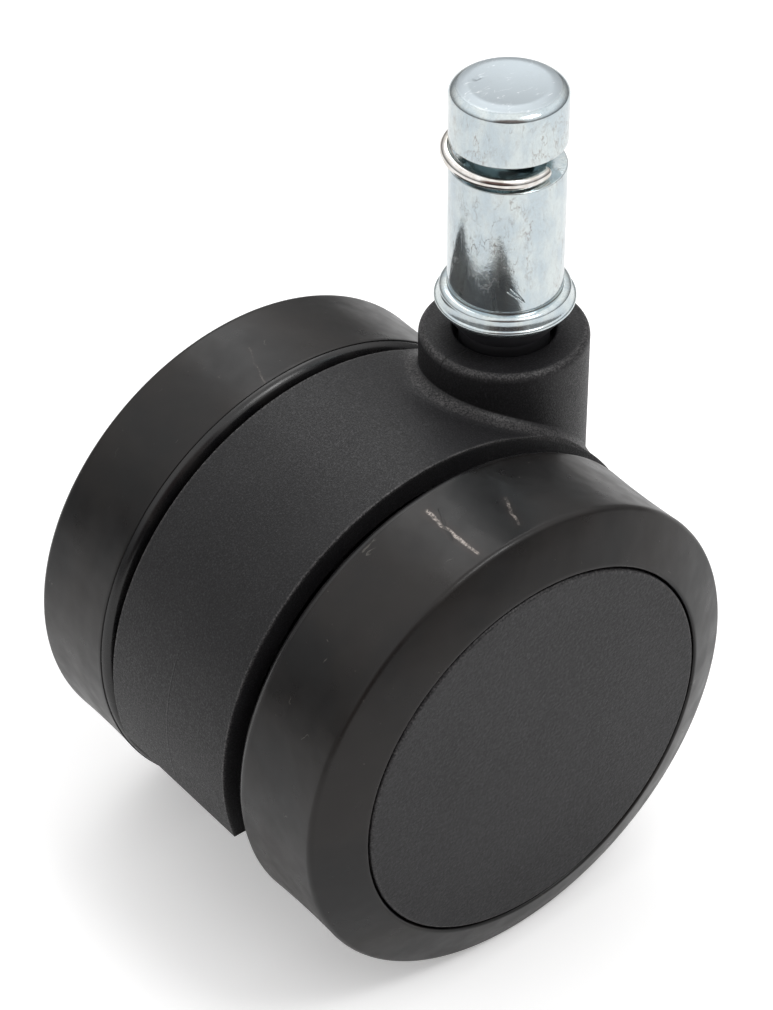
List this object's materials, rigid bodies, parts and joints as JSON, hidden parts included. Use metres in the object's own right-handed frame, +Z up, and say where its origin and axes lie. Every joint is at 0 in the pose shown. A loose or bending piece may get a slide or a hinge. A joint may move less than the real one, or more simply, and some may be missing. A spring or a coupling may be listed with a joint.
{
  "type": "twin-wheel chair caster",
  "caption": "Twin-wheel office chair caster: hooded housing between two soft-tread wheels, swivelling on a steel plug-in stem with a grip ring.",
  "frame": {"origin": "foot of the stem's pin, on the stem axis, at the collar's flat top face, where the caster meets the chair leg", "axes": "+Z up along the stem; the wheel axle lies along Y, left wheel at +Y; the wheels trail towards -X"},
  "size_m": [0.0514, 0.0472, 0.0814],
  "materials": {
    "zinc_plated_steel": "bright zinc plating with a faint blue tint and fine handling marks",
    "spring_wire": "polished spring steel wire, slightly warm",
    "acetal": "black acetal",
    "bare_steel": "plain pressed steel",
    "axle_steel": "ground steel rod",
    "housing_nylon": "fine spark-eroded grain, matt charcoal black",
    "core_nylon": "smooth moulded nylon, black",
    "polyurethane": "smooth semi-gloss soft polyurethane, brownish black",
    "hubcap_plastic": "fine pebbled grain, matt charcoal black"
  },
  "bodies": {
    "stem": {"stem": "zinc_plated_steel"},
    "grip_ring": {"grip_ring": "spring_wire"},
    "housing": {"housing": "housing_nylon", "stem_bush": "acetal", "thrust_disc": "bare_steel", "stem_snap_ring": "spring_wire", "axle": "axle_steel", "axle_clips": "bare_steel", "inner_washer_left": "bare_steel", "inner_washer_right": "bare_steel", "outer_washer_left": "bare_steel", "outer_washer_right": "bare_steel"},
    "wheel_left": {"wheel_core_left": "core_nylon", "tyre_left": "polyurethane", "hubcap_left": "hubcap_plastic", "wheel_bush_left": "acetal"},
    "wheel_right": {"wheel_core_right": "core_nylon", "tyre_right": "polyurethane", "hubcap_right": "hubcap_plastic", "wheel_bush_right": "acetal"}
  },
  "joints": [
    {"name": "stem_swivel", "type": "hinge", "parent": "stem", "child": "housing", "pos_m": [0, 0, 0], "axis": [0, 0, 1], "continuous": true},
    {"name": "left_wheel_spin", "type": "hinge", "parent": "housing", "child": "wheel_left", "pos_m": [-0.0154, 0, -0.03435], "axis": [0, 1, 0], "continuous": true},
    {"name": "right_wheel_spin", "type": "hinge", "parent": "housing", "child": "wheel_right", "pos_m": [-0.0154, 0, -0.03435], "axis": [0, 1, 0], "continuous": true},
    {"name": "grip_ring_squeeze", "type": "slide", "parent": "stem", "child": "grip_ring", "axis": [0.9659, -0.2588, 0], "range_m": [0, 0.00085], "stiffness_N_per_m": 500}
  ]
}
